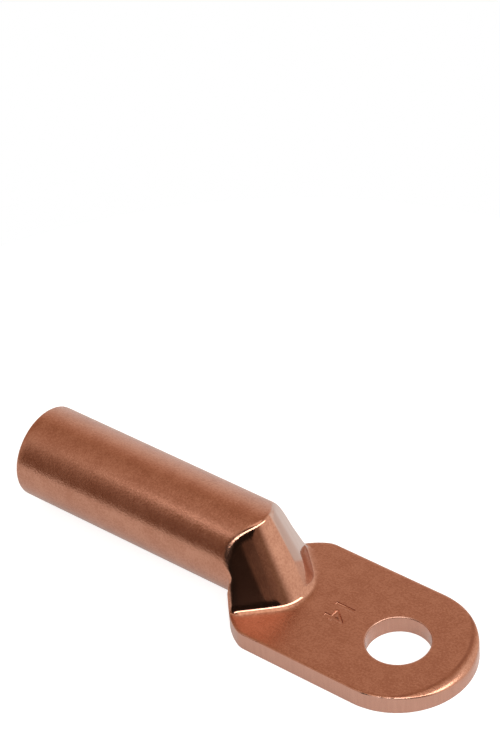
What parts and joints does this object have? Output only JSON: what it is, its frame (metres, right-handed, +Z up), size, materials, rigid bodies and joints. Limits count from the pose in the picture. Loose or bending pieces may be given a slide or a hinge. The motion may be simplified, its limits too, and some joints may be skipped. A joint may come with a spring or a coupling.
{
  "type": "copper cable lug",
  "caption": "One-piece forged copper lug: a blind round barrel for a crimped conductor, a steep neck, and a flat round-ended palm with a stud hole.",
  "frame": {"origin": "centre of the stud hole on the palm's contact face", "axes": "+X along the lug from the barrel to the palm's tip, +Z up through the stud hole, the barrel's mouth faces -X"},
  "size_m": [0.1175, 0.035, 0.0231],
  "materials": {
    "copper": "bare copper, pickled satin barrel and palm, burnished neck, cut edges and punched hole"
  },
  "bodies": {
    "root": {"cable_lug": "copper"}
  },
  "joints": []
}
